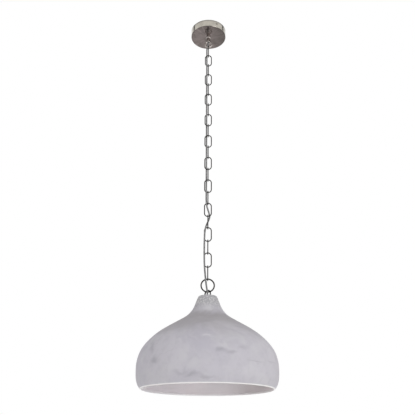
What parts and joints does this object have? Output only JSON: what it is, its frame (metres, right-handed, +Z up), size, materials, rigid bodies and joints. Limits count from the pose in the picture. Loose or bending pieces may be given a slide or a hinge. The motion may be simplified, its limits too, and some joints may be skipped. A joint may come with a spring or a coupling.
{
  "type": "stone shade pendant light",
  "caption": "Ceiling pendant: pale stone bell shade on a ring and long oval-link chain, with the flex woven down from a round metal rose",
  "frame": {"origin": "centre of the two fixing slots, on the ceiling's face", "axes": "+Z up into the ceiling along the line of the chain, front of the lamp towards -Y, fixing slots along X"},
  "size_m": [0.353, 0.353, 1.11],
  "materials": {
    "polished_nickel": "polished, faintly smoky",
    "satin_nickel": "satin",
    "zinc_plated_steel": "bright zinc plate",
    "brass": "bright drawn brass",
    "white_nylon": "moulded, matt",
    "brown_sheath": "extruded, satin",
    "blue_sheath": "extruded, satin",
    "green_yellow_sheath": "extruded, satin, two colours",
    "clear_grey_sheath": "clear grey, glossy",
    "rubber": "matt",
    "porcelain": "glazed white",
    "alabaster": "honed, cloudy, matt"
  },
  "bodies": {
    "rose": {"ceiling_strap": "zinc_plated_steel", "cross_strap": "zinc_plated_steel", "centre_rivet": "zinc_plated_steel", "side_screws": "polished_nickel", "ceiling_rose": "polished_nickel", "rose_loop": "polished_nickel", "rose_washer": "zinc_plated_steel", "rose_locknut": "zinc_plated_steel", "cord_grip": "white_nylon", "cord_grip_screw": "zinc_plated_steel", "terminal_block": "white_nylon", "terminal_barrels": "brass", "terminal_screws": "brass", "earth_tag": "brass", "earth_screw": "zinc_plated_steel", "live_core": "brown_sheath", "neutral_core": "blue_sheath", "earth_core": "green_yellow_sheath", "flex": "clear_grey_sheath"},
    "link_01": {"chain_link_01": "polished_nickel"},
    "link_02": {"chain_link_02": "polished_nickel"},
    "link_03": {"chain_link_03": "polished_nickel"},
    "link_04": {"chain_link_04": "polished_nickel"},
    "link_05": {"chain_link_05": "polished_nickel"},
    "link_06": {"chain_link_06": "polished_nickel"},
    "link_07": {"chain_link_07": "polished_nickel"},
    "link_08": {"chain_link_08": "polished_nickel"},
    "link_09": {"chain_link_09": "polished_nickel"},
    "link_10": {"chain_link_10": "polished_nickel"},
    "link_11": {"chain_link_11": "polished_nickel"},
    "link_12": {"chain_link_12": "polished_nickel"},
    "link_13": {"chain_link_13": "polished_nickel"},
    "link_14": {"chain_link_14": "polished_nickel"},
    "link_15": {"chain_link_15": "polished_nickel"},
    "link_16": {"chain_link_16": "polished_nickel"},
    "link_17": {"chain_link_17": "polished_nickel"},
    "link_18": {"chain_link_18": "polished_nickel"},
    "link_19": {"chain_link_19": "polished_nickel"},
    "link_20": {"chain_link_20": "polished_nickel"},
    "link_21": {"chain_link_21": "polished_nickel"},
    "ring": {"support_ring": "polished_nickel"},
    "shade": {"shade_hook": "polished_nickel", "fixing_pad": "rubber", "backing_plate": "zinc_plated_steel", "hook_nuts": "zinc_plated_steel", "holder_nipple": "zinc_plated_steel", "nipple_nut": "zinc_plated_steel", "flex_grommet": "rubber", "alabaster_shade": "alabaster", "lampholder_cap": "satin_nickel", "lampholder_skirt": "satin_nickel", "lampholder_insert": "porcelain", "screw_shell": "brass", "centre_contact": "brass", "holder_screws": "brass", "holder_cores": "brown_sheath"}
  },
  "joints": [
    {"name": "link_01_swing", "type": "hinge", "parent": "rose", "child": "link_01", "pos_m": [0, 0, -0.06305], "axis": [1, 0, 0], "range_deg": [-45, 45], "deforming": ["flex"]},
    {"name": "link_02_swing", "type": "hinge", "parent": "link_01", "child": "link_02", "pos_m": [0, 0, -0.0995], "axis": [0, 1, 0], "range_deg": [-45, 45], "deforming": ["flex"]},
    {"name": "link_03_swing", "type": "hinge", "parent": "link_02", "child": "link_03", "pos_m": [0, 0, -0.1362], "axis": [-1, 0, 0], "range_deg": [-45, 45], "deforming": ["flex"]},
    {"name": "link_04_swing", "type": "hinge", "parent": "link_03", "child": "link_04", "pos_m": [0, 0, -0.1729], "axis": [0, -1, 0], "range_deg": [-45, 45], "deforming": ["flex"]},
    {"name": "link_05_swing", "type": "hinge", "parent": "link_04", "child": "link_05", "pos_m": [0, 0, -0.2096], "axis": [1, 0, 0], "range_deg": [-45, 45], "deforming": ["flex"]},
    {"name": "link_06_swing", "type": "hinge", "parent": "link_05", "child": "link_06", "pos_m": [0, 0, -0.2463], "axis": [0, 1, 0], "range_deg": [-45, 45], "deforming": ["flex"]},
    {"name": "link_07_swing", "type": "hinge", "parent": "link_06", "child": "link_07", "pos_m": [0, 0, -0.283], "axis": [-1, 0, 0], "range_deg": [-45, 45], "deforming": ["flex"]},
    {"name": "link_08_swing", "type": "hinge", "parent": "link_07", "child": "link_08", "pos_m": [0, 0, -0.3197], "axis": [0, -1, 0], "range_deg": [-45, 45], "deforming": ["flex"]},
    {"name": "link_09_swing", "type": "hinge", "parent": "link_08", "child": "link_09", "pos_m": [0, 0, -0.3564], "axis": [1, 0, 0], "range_deg": [-45, 45], "deforming": ["flex"]},
    {"name": "link_10_swing", "type": "hinge", "parent": "link_09", "child": "link_10", "pos_m": [0, 0, -0.3931], "axis": [0, 1, 0], "range_deg": [-45, 45], "deforming": ["flex"]},
    {"name": "link_11_swing", "type": "hinge", "parent": "link_10", "child": "link_11", "pos_m": [0, 0, -0.4298], "axis": [-1, 0, 0], "range_deg": [-45, 45], "deforming": ["flex"]},
    {"name": "link_12_swing", "type": "hinge", "parent": "link_11", "child": "link_12", "pos_m": [0, 0, -0.4665], "axis": [0, -1, 0], "range_deg": [-45, 45], "deforming": ["flex"]},
    {"name": "link_13_swing", "type": "hinge", "parent": "link_12", "child": "link_13", "pos_m": [0, 0, -0.5032], "axis": [1, 0, 0], "range_deg": [-45, 45], "deforming": ["flex"]},
    {"name": "link_14_swing", "type": "hinge", "parent": "link_13", "child": "link_14", "pos_m": [0, 0, -0.5399], "axis": [0, 1, 0], "range_deg": [-45, 45], "deforming": ["flex"]},
    {"name": "link_15_swing", "type": "hinge", "parent": "link_14", "child": "link_15", "pos_m": [0, 0, -0.5766], "axis": [-1, 0, 0], "range_deg": [-45, 45], "deforming": ["flex"]},
    {"name": "link_16_swing", "type": "hinge", "parent": "link_15", "child": "link_16", "pos_m": [0, 0, -0.6133], "axis": [0, -1, 0], "range_deg": [-45, 45], "deforming": ["flex"]},
    {"name": "link_17_swing", "type": "hinge", "parent": "link_16", "child": "link_17", "pos_m": [0, 0, -0.65], "axis": [1, 0, 0], "range_deg": [-45, 45], "deforming": ["flex"]},
    {"name": "link_18_swing", "type": "hinge", "parent": "link_17", "child": "link_18", "pos_m": [0, 0, -0.6867], "axis": [0, 1, 0], "range_deg": [-45, 45], "deforming": ["flex"]},
    {"name": "link_19_swing", "type": "hinge", "parent": "link_18", "child": "link_19", "pos_m": [0, 0, -0.7234], "axis": [-1, 0, 0], "range_deg": [-45, 45], "deforming": ["flex"]},
    {"name": "link_20_swing", "type": "hinge", "parent": "link_19", "child": "link_20", "pos_m": [0, 0, -0.7601], "axis": [0, -1, 0], "range_deg": [-45, 45], "deforming": ["flex"]},
    {"name": "link_21_swing", "type": "hinge", "parent": "link_20", "child": "link_21", "pos_m": [0, 0, -0.7968], "axis": [1, 0, 0], "range_deg": [-45, 45], "deforming": ["flex"]},
    {"name": "ring_swing", "type": "hinge", "parent": "link_21", "child": "ring", "pos_m": [0, 0, -0.8335], "axis": [0, 1, 0], "range_deg": [-45, 45], "deforming": ["flex"]},
    {"name": "shade_swing", "type": "hinge", "parent": "ring", "child": "shade", "pos_m": [0, 0, -0.8645], "axis": [-1, 0, 0], "range_deg": [-45, 45], "deforming": ["flex"]}
  ]
}
